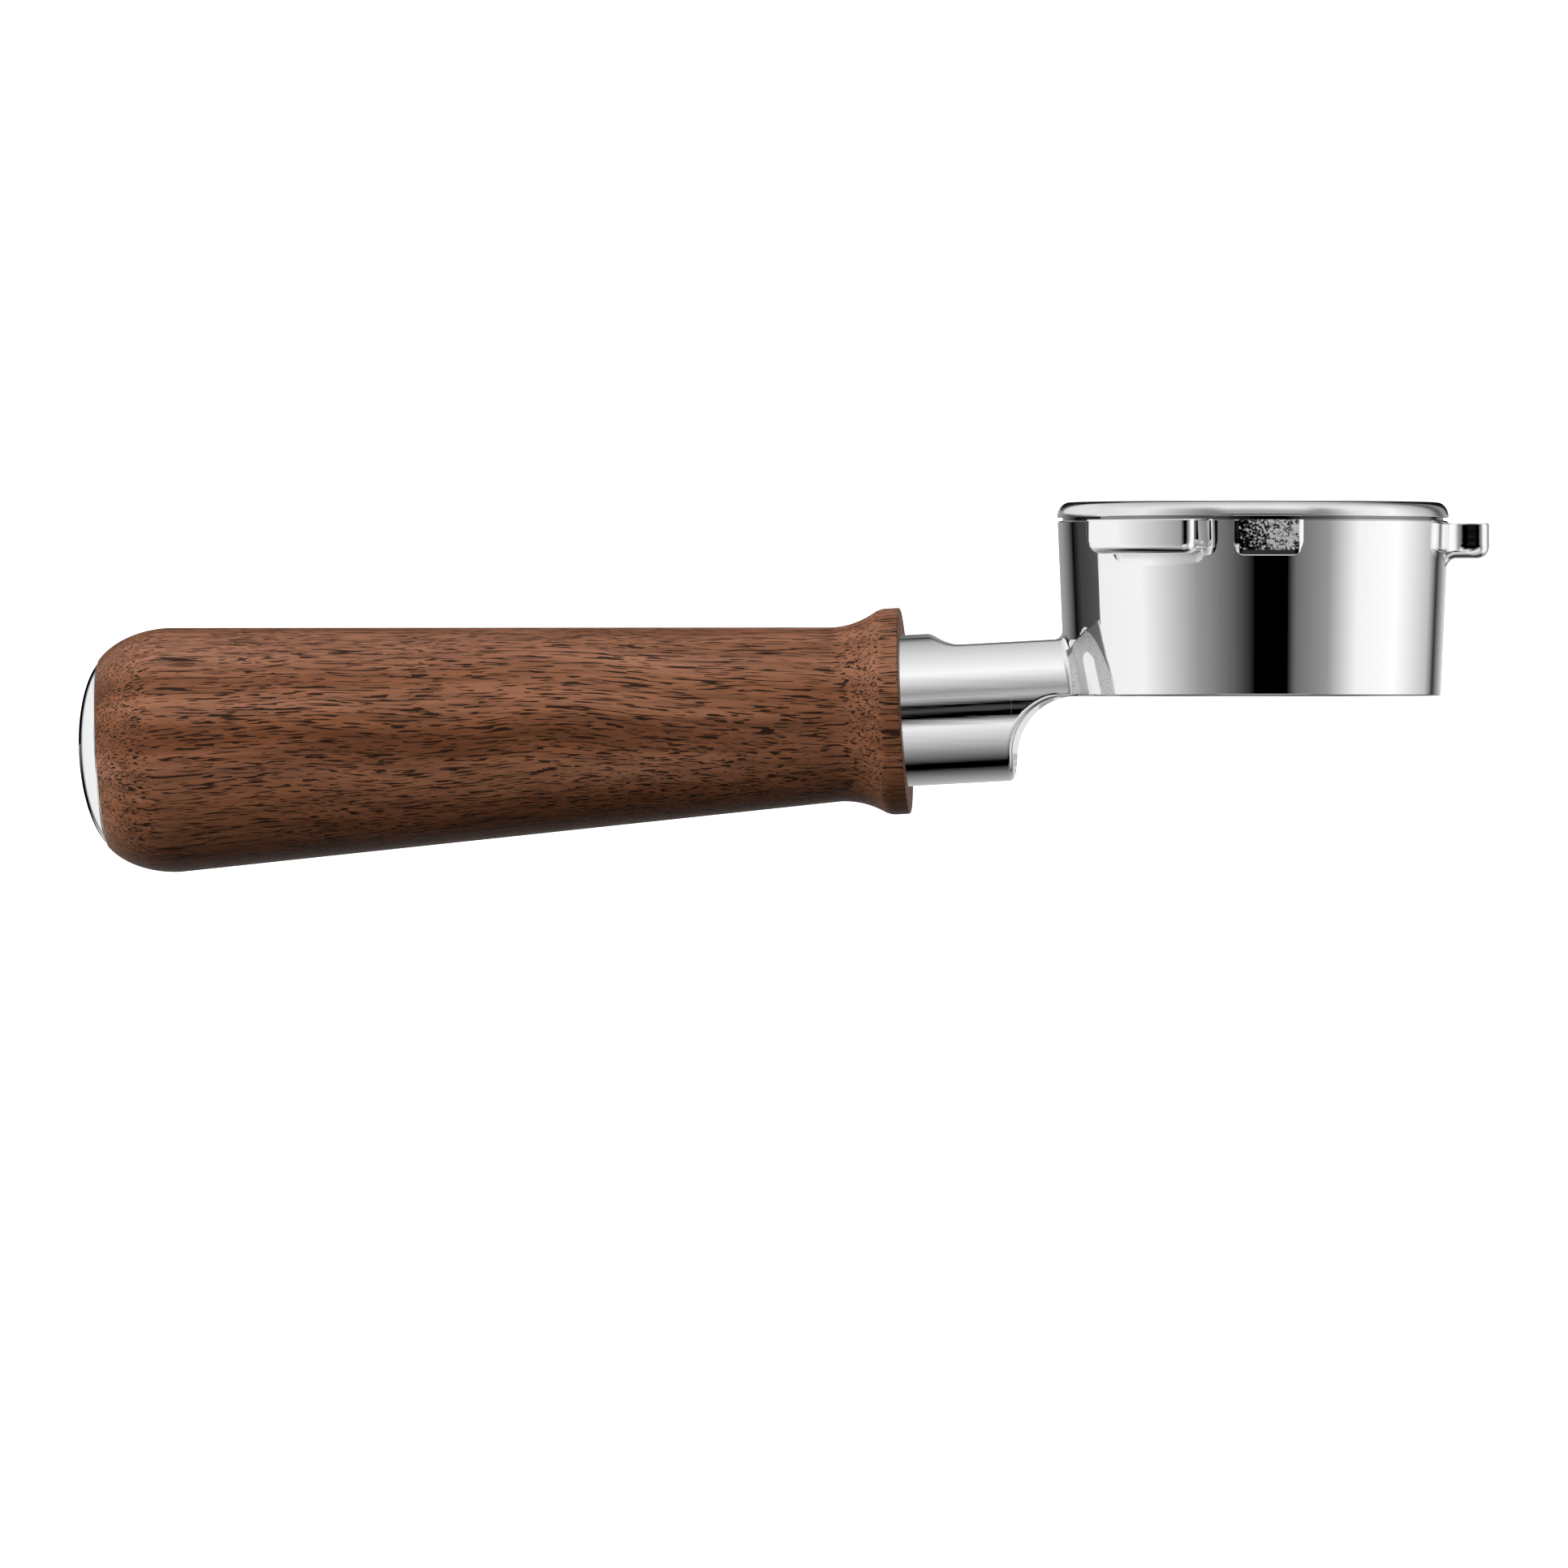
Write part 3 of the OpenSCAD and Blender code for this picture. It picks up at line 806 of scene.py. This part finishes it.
def ring_samples():
    """Samples of the holder's outside all round, by rising direction."""
    samples = []
    for lug in LUGS:
        samples += lug_samples(*lug)
    samples += block_samples()
    taken = sorted(s["dir"] % 360 for s in samples)
    spacing = 1.0
    for k, here in enumerate(taken):
        after = taken[(k + 1) % len(taken)] + (360 if k == len(taken) - 1 else 0)
        gap = after - here
        if gap > 1.6 * spacing:
            steps = int(math.ceil(gap / spacing))
            samples += [plain_sample(here + gap * j / steps) for j in range(1, steps)]
    samples.sort(key=lambda s: s["dir"] % 360)
    return {key: np.array([s[key] for s in samples])[:, None] for key in samples[0]}


def ring_sections(p):
    """Closed vertical sections of the holder ring: radii and heights, one row per sample."""
    count = len(p["dir"])
    radii, heights = [], []

    def put(r, z):
        r, z = np.broadcast_arrays(r, z)
        radii.append(np.broadcast_to(r, (count, r.shape[1])))
        heights.append(np.broadcast_to(z, (count, z.shape[1])))

    def face_r(z):
        return p["r"] + (1 - p["face"]) * (wall_r(z) - RING_TOP_R)

    inner = ring_bore_profile()
    put(inner[None, :, 0], inner[None, :, 1])
    rim = RING_TOP_R - TOP_BEVEL
    put(np.full((1, 1), rim), np.zeros((1, 1)))
    put(rim + p["bevel"], -p["bevel"])
    put(rim + p["bevel"], -p["drop"])
    t = np.radians(np.linspace(0, 90, 5))[None, :]
    top = -p["drop"]
    put(p["r"] - p["edge"] * (1 - np.sin(t)), top - p["edge"] * (1 - np.cos(t)))
    t = np.linspace(0, 1, 6)[None, 1:]
    start, stop = top - p["edge"], p["low"] + p["rz"]
    z = start + (stop - start) * t
    put(face_r(z), z)
    t = np.linspace(0, 1, 11)[None, 1:]
    sine = (1 - p["chord"]) * np.sin(t * math.pi / 2) + p["chord"] * t
    rest = (1 - p["chord"]) * (1 - np.cos(t * math.pi / 2)) + p["chord"] * t
    z = stop - p["rz"] * sine
    put(face_r(z) - p["rx"] * rest, z)
    outer_x, inner_x = face_r(p["low"]) - p["rx"], wall_r(p["low"]) + p["fx"]
    t = np.linspace(0, 1, 4)[None, 1:]
    put(outer_x + (inner_x - outer_x) * t, p["low"] + 0 * t)
    t = np.linspace(0, 1, 9)[None, 1:]
    drop = (1 - p["slant"]) * (1 - np.cos(t * math.pi / 2)) + p["slant"] * t
    left = (1 - p["slant"]) * (1 - np.sin(t * math.pi / 2)) + p["slant"] * (1 - t)
    z = p["low"] - p["fz"] * drop
    put(wall_r(z) + p["fx"] * left, z)
    t = np.linspace(0, 1, 11)[None, 1:]
    start = p["low"] - p["fz"]
    z = start + (BOTTOM_ROUND - RING_DEPTH - start) * t
    put(wall_r(z), z)
    foot_x, foot_z = RING_BOTTOM_R - BOTTOM_ROUND, BOTTOM_ROUND - RING_DEPTH
    bottom = arc(foot_x, foot_z, BOTTOM_ROUND, BOTTOM_ROUND, 0, -90, 8)[1:]
    put(bottom[None, :, 0], bottom[None, :, 1])
    return np.hstack(radii), np.hstack(heights)


def facing(direction):
    """Unit vectors for directions counted from -Y towards +X, in degrees."""
    a = np.radians(direction)
    return np.sin(a), -np.cos(a)


def holder_ring():
    """The ring with its lugs and block; the block's rough face is marked for the material."""
    p = ring_samples()
    r, z = ring_sections(p)
    east, north = facing(p["dir"])
    points = np.stack((r * east, r * north, z), -1)
    faces = grid_faces(len(r), r.shape[1], True, True)
    piece = make_object("casting", points.reshape(-1, 3), faces, 28.0)
    bx, by = facing(BLOCK_DIR)
    cast = piece.data.attributes.new("cast", "FLOAT", "FACE")
    values = []
    for face in piece.data.polygons:
        c = face.center / MM
        out, across = c.x * bx + c.y * by, c.x * -by + c.y * bx
        on_face = out > RING_TOP_R + BLOCK_OUT - 0.03 and abs(across) < BLOCK_W / 2 - BLOCK_BEVEL
        values.append(float(on_face and -LUG_H + BLOCK_BEVEL < c.z < -0.13))
    cast.data.foreach_set("value", values)
    return piece


def round_out(a, b, r):
    """Signed distance where two solids overlap, with the edge between them rounded."""
    corner = np.hypot(np.maximum(a + r, 0), np.maximum(b + r, 0))
    return np.minimum(-r, np.maximum(a, b)) + corner


def round_in(a, b, r):
    """Signed distance of two joined solids, with a fillet between them."""
    corner = np.hypot(np.maximum(r - a, 0), np.maximum(r - b, 0))
    return np.maximum(r, np.minimum(a, b)) - corner


def neck_distance(p):
    """Signed distance in mm of the neck with its relief, cut-away and root on the ring."""
    x, y, z = p[..., 0], p[..., 1], p[..., 2]
    off = p - COLLAR
    s, up = off @ AXIS, off @ AXIS_UP
    tube = np.hypot(up, y) - NECK_R
    floor = NECK_R - FLAT_DEPTH
    runout = FLAT_RUNOUT_R - np.hypot(s + FLAT_START, up - floor - FLAT_RUNOUT_R)
    relief = np.where(s < -FLAT_START, up - floor, runout)
    neck = round_out(tube, relief, FLAT_ROUND)
    ring = np.hypot(x, y) - wall_r(z)
    body = round_in(neck, ring, ROOT_FILLET)
    bend = CUT_R - np.hypot(x - CUT_X, z - CUT_Z)
    cut = np.where(z < CUT_Z, x - CUT_X + CUT_R, np.where(x > CUT_X, -RING_DEPTH - z, bend))
    share = np.clip((-29.0 - x) / 4.0, 0, 1)
    edge = BOTTOM_ROUND + (CUT_ROUND - BOTTOM_ROUND) * share * share * (3 - 2 * share)
    return round_out(body, cut, edge)


def slope(p, h=1e-3):
    """Direction in which the neck's distance grows."""
    axes = np.eye(3) * h
    g = np.stack([neck_distance(p + a) - neck_distance(p - a) for a in axes], -1)
    return g / np.linalg.norm(g, axis=-1, keepdims=True)


def neck_seeds():
    """First guess of the neck's surface: rows along the neck, columns round it."""
    turn = np.linspace(0, 2 * math.pi, 288, endpoint=False)
    sweep = np.radians(np.linspace(0, 90, 37))
    rows = []

    def row(share, clamp):
        y = NECK_R * np.sin(turn)
        lower = np.cos(turn) < 0
        end = np.full_like(turn, CUT_X)
        x = np.full_like(turn, CUT_X - CUT_R)
        for _ in range(4):
            centre = COLLAR[2] + (x - COLLAR[0]) * math.tan(TILT)
            z = centre + NECK_R * np.cos(turn) / math.cos(TILT)
            z = np.maximum(np.minimum(z, centre + NECK_R - FLAT_DEPTH), clamp)
            wall = -np.sqrt(wall_r(np.minimum(z, 0)) ** 2 - y**2)
            blend = np.clip((z + RING_DEPTH) / 2.0, 0, 1)
            stop = np.where(lower & (z <= clamp + 1e-6), end, end + (wall - end) * blend)
            x = CUT_X - CUT_R + (stop - CUT_X + CUT_R) * share
        return x, y, z

    start_x = COLLAR[0] + 3.0 * AXIS[0]
    for x0 in np.linspace(start_x, CUT_X - CUT_R, 64)[:-1]:
        centre = COLLAR[2] + (x0 - COLLAR[0]) * math.tan(TILT)
        z = centre + NECK_R * np.cos(turn) / math.cos(TILT)
        s = (x0 - COLLAR[0]) / AXIS[0]
        if s < -5.0:
            z = np.minimum(z, centre + NECK_R - FLAT_DEPTH)
        rows.append(np.column_stack((np.full_like(turn, x0), NECK_R * np.sin(turn), z)))
    for clamp in np.linspace(-41.6, CUT_Z, 14)[:-1]:
        rows.append(np.column_stack(row(0.0, clamp)))
    for a in sweep:
        rows.append(np.column_stack(row(1 - math.cos(a), CUT_Z + CUT_R * math.sin(a))))
    x, y, z = row(1.0, -RING_DEPTH)
    for step in np.linspace(0, 1.75, 9)[1:]:
        y1 = y + step * np.sin(turn)
        z1 = np.maximum(z + step * np.maximum(np.cos(turn), 0), -RING_DEPTH)
        x1 = -np.sqrt(np.maximum(wall_r(np.minimum(z1, 0)) ** 2 - y1**2, 1.0))
        on_bottom = z1 <= -RING_DEPTH + 1e-6
        x1 = np.where(on_bottom, np.maximum(x1, CUT_X + 0.2 * step), x1)
        rows.append(np.column_stack((x1, y1, z1)))
    return np.array(rows)


def neck():
    """The neck's surface, drawn onto its distance field, closed at both ends."""
    points = neck_seeds()
    for _ in range(12):
        points = points - neck_distance(points)[..., None] * slope(points) * 0.9
    normals = slope(points)
    points = np.concatenate((points, points[-1:] - 0.5 * normals[-1:]))
    normals = np.concatenate((normals, normals[-1:]))
    rows, columns = points.shape[:2]
    faces = grid_faces(rows, columns, False, True)
    flat = points.reshape(-1, 3)
    in_wall = (-29.3, 0.0, -24.0)
    ends = np.array((points[0].mean(0), in_wall))
    front, back = len(flat), len(flat) + 1
    last = (rows - 1) * columns
    for j in range(columns):
        k = (j + 1) % columns
        faces += [[front, k, j], [back, last + j, last + k]]
    flat = np.concatenate((flat, ends))
    mesh = bpy.data.meshes.new("neck")
    mesh.from_pydata((flat * MM).tolist(), [], faces)
    mesh.validate()
    mesh.shade_smooth()
    vertex_normals = np.concatenate((normals.reshape(-1, 3), [AXIS, -AXIS]))
    mesh.normals_split_custom_set_from_vertices(vertex_normals.tolist())
    return add_object("neck", mesh)


def tenon():
    """Tenon of the neck, bored for the tie stud."""
    profile = [(5.05, 2.5), (8.0, 2.5), (8.0, 21.7), (7.7, 22.0), (5.05, 22.0)]
    return revolve("tenon", profile, on_axis, 96)


def join(pieces):
    """One object from several, keeping the first one's name."""
    with bpy.context.temp_override(
        active_object=pieces[0], selected_editable_objects=pieces, selected_objects=pieces
    ):
        bpy.ops.object.join()
    return pieces[0]


def filter_holder():
    return join([holder_ring(), neck(), tenon()])


# ---------------------------------------------------------------- studio


# Brightness by direction: white boxes with dark gaps between them. AROUND goes round the horizon,
# in degrees from the camera to the right; UPRIGHT goes from the camera up and over, or, when
# negative, down and under.
AROUND = (
    (-180, 0.0), (-160, 0.0), (-152, 0.8), (-72, 0.9), (-35, 0.3), (0, 0.0), (20, 0.0),
    (25, 0.15), (45, 0.3), (65, 0.9), (95, 1.0), (130, 0.5), (142, 0.02), (172, 0.8), (180, 0.6),
)
UPRIGHT = (
    (-180, 0.6), (-130, 0.25), (-104, 0.0), (-92, 0.0), (-70, 0.25), (-28, 0.85), (-14, 0.0),
    (5, 0.0), (15, 0.45), (25, 0.3), (55, 0.95), (80, 0.75), (125, 0.4), (142, 0.0), (180, 0.0),
)
# Card behind the neck: its distance from the ring's axis, and its brightness from place to place
# along it
FLAG_BEHIND = 0.032
FLAG = ((-0.190, 0.09), (-0.090, 0.05), (-0.070, 0.0), (-0.045, 0.3), (-0.031, 0.35))


def emit(level):
    """Light that the plating mirrors at a level from 0 to 1."""
    return level / PLATING


def hide_from(piece, *rays):
    for ray in rays:
        setattr(piece, "visible_" + ray, False)


def studio_world():
    """Light from all round: a ramp round the horizon and one up and over, by direction."""
    world = bpy.data.worlds.new("studio")
    world.use_nodes = True
    bpy.context.scene.world = world
    n = Nodes(world.node_tree)
    sine, cosine = math.sin(VIEW_AZIMUTH), math.cos(VIEW_AZIMUTH)
    way = n.add("ShaderNodeTexCoord").outputs["Generated"]
    right = n.vector("DOT_PRODUCT", way, (cosine, sine, 0))["Value"]
    near = n.vector("DOT_PRODUCT", way, (sine, -cosine, 0))["Value"]
    up = n.add("ShaderNodeSeparateXYZ", {"Vector": way}).outputs[2]

    def turn_ramp(numerator, table):
        angle = n.math("ARCTAN2", numerator, near)
        share = n.math("MULTIPLY_ADD", angle, 1 / (2 * math.pi), 0.5)
        stops = [((degrees + 180) / 360, emit(level)) for degrees, level in table]
        return share, n.ramp(share, *stops)

    around_share, around = turn_ramp(right, AROUND)
    _, upright = turn_ramp(up, UPRIGHT)

    # The horizon's ramp holds in a tall band, which is low (in radians) in front and behind
    height = n.math("ARCSINE", up)
    behind_left, behind_right = ((0.05, 1.0), (0.09, 0.0)), ((0.91, 0.0), (0.95, 1.0))
    front = ((0.42, 0.0), (0.46, 1.0), (0.575, 1.0), (0.62, 0.0))
    card = n.ramp(around_share, *behind_left, *front, *behind_right)
    low_edge = n.blend(card, -0.95, -0.145)
    high_edge = n.blend(card, 1.1, 0.05)
    low_soft, high_soft = n.blend(card, 0.4, 0.05), n.blend(card, 0.5, 0.08)
    below = n.math("DIVIDE", n.math("SUBTRACT", height, low_edge), low_soft, clamp=True)
    above = n.math("DIVIDE", n.math("SUBTRACT", high_edge, height), high_soft, clamp=True)
    near_horizon = n.math("MULTIPLY", below, above)
    background = n.tree.nodes["Background"]
    n.put(background, "Strength", 1.0)
    n.put(background, "Color", n.mix(near_horizon, upright, around))


def stage_material(name, color, glow):
    """Matt card with a faint change of tone that also glows."""
    n = Material(name)
    tone = n.noise(n.position(), 1.5, detail=2.0)
    n.shade(
        Base_Color=n.ramp(tone, (0.3, color), (0.7, tuple(c * 0.99 for c in color))),
        Roughness=0.9,
        Emission_Color=(1.0, 1.0, 1.0, 1.0),
        Emission_Strength=glow,
    )
    return n.material


def flag():
    """Grey card behind the neck that only the plating sees, at the left of the holder ring."""
    low, high = FLAG[0][0], FLAG[-1][0]
    corners = [(low, 0, -0.046), (high, 0, -0.031), (high, 0, 0.006), (low, 0, 0.006)]
    mesh = bpy.data.meshes.new("studio_flag")
    mesh.from_pydata(corners, [], [(0, 1, 2, 3)])
    piece = add_object("studio_flag", mesh)
    away = (-math.sin(VIEW_AZIMUTH), math.cos(VIEW_AZIMUTH), 0)
    piece.location = FLAG_BEHIND * Vector(away)
    piece.rotation_euler = (0, 0, VIEW_AZIMUTH)
    n = Material("flag_card")
    x = n.add("ShaderNodeSeparateXYZ", {"Vector": n.position()}).outputs[0]
    share = n.math("DIVIDE", n.math("SUBTRACT", x, low), high - low)
    stops = [((place - low) / (high - low), emit(level)) for place, level in FLAG]
    n.shade(Base_Color=(0, 0, 0, 1), Emission_Color=n.ramp(share, *stops), Emission_Strength=1.0)
    n.shader.inputs["Specular IOR Level"].default_value = 0.0
    mesh.materials.append(n.material)
    hide_from(piece, "camera", "diffuse", "shadow", "transmission")
    return piece


def wood_light():
    """Soft light from above at the front left; the plating doesn't mirror it."""
    data = bpy.data.lights.new("soft_light", "AREA")
    data.shape = "DISK"
    data.size = 0.7
    data.energy = WOOD_LIGHT
    piece = add_object("soft_light", data)
    piece.location = (-0.85, -0.76, 0.32)
    aim = Vector((-0.12, 0.0, -0.035)) - piece.location
    piece.rotation_euler = aim.to_track_quat("-Z", "Y").to_euler()
    hide_from(piece, "glossy", "camera")


def under_card():
    """Dark card that keeps stray light off the underside of the wood."""
    bpy.ops.mesh.primitive_plane_add(size=0.5, location=(-0.12, 0, -0.10))
    piece = bpy.context.object
    piece.name = "studio_under_card"
    piece.data.materials.append(stage_material("dark_card", (0.02, 0.02, 0.02), 0.0))
    hide_from(piece, "camera", "glossy", "shadow", "transmission")
    return piece


def stage_pieces():
    """Pale floor well below the object and a white wall far behind it."""
    bpy.ops.mesh.primitive_circle_add(
        vertices=96, radius=12.0, fill_type="NGON", location=(0, 0, STAGE_Z)
    )
    floor = bpy.context.object
    floor.name = "studio_floor"
    floor.data.materials.append(stage_material("pale_floor", (0.82, 0.82, 0.82), 0.62))
    bpy.ops.mesh.primitive_cylinder_add(
        vertices=96, radius=11.9, depth=24.0, end_fill_type="NOTHING"
    )
    wall = bpy.context.object
    wall.name = "studio_wall"
    wall.data.materials.append(stage_material("white_wall", (0.9, 0.9, 0.9), 1.3))
    hide_from(wall, "diffuse", "glossy", "shadow", "transmission")
    hide_from(floor, "glossy", "diffuse")
    flag()
    under_card()
    wood_light()


def camera():
    """Level camera with a long lens at the view's azimuth."""
    data = bpy.data.cameras.new("camera")
    data.sensor_width = 36.0
    data.lens = 36.0 * VIEW_DISTANCE / VIEW_WIDTH
    data.clip_start = 0.1
    data.clip_end = 100.0
    piece = add_object("camera", data)
    back = np.array((math.sin(VIEW_AZIMUTH), -math.cos(VIEW_AZIMUTH), 0.0))
    piece.location = (AIM + back * VIEW_DISTANCE) * MM
    piece.rotation_euler = (math.pi / 2, 0.0, VIEW_AZIMUTH)
    bpy.context.scene.camera = piece


# ---------------------------------------------------------------- assembly

place_piece(filter_holder(), "holder", "polished_casting", chrome_material(), "filter_holder")
place_piece(filter_basket(), "basket", "basket_steel", basket_material(), "filter_basket")
spring_steel = plain_steel_material(
    "spring_steel", (0.42, 0.42, 0.43), (0.52, 0.52, 0.53), 0.18, 0.3
)
place_piece(clip_wire(), "clip", "spring_steel", spring_steel, "basket_spring")
handle = revolve("turned_handle", handle_profile(), on_axis, 256)
hide_from(handle, "glossy")
place_piece(handle, "holder", "walnut", walnut_material(), "walnut_handle")
cap = revolve("domed_cap", cap_profile(), on_axis, 256, closed=False)
hide_from(cap, "glossy")
place_piece(cap, "holder", "polished_cap", cap_material(), "end_cap")

zinc = plain_steel_material("zinc_plate", (0.50, 0.50, 0.52), (0.62, 0.62, 0.63), 0.22, 0.4)
rubber = rubber_material()
INNER = {
    "tie_stud": zinc,
    "flat_washer": zinc,
    "spring_washer": spring_steel,
    "clamp_nut": zinc,
    "anti_turn_pin": spring_steel,
    "neck_gasket": rubber,
    "cap_o_ring": rubber,
}
for name, material in INNER.items():
    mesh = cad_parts[name].data
    mesh.materials.clear()
    mesh.materials.append(material)
    hide_from(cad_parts[name], "glossy")

studio_world()
stage_pieces()
camera()
bpy.context.scene.view_settings.view_transform = "Standard"
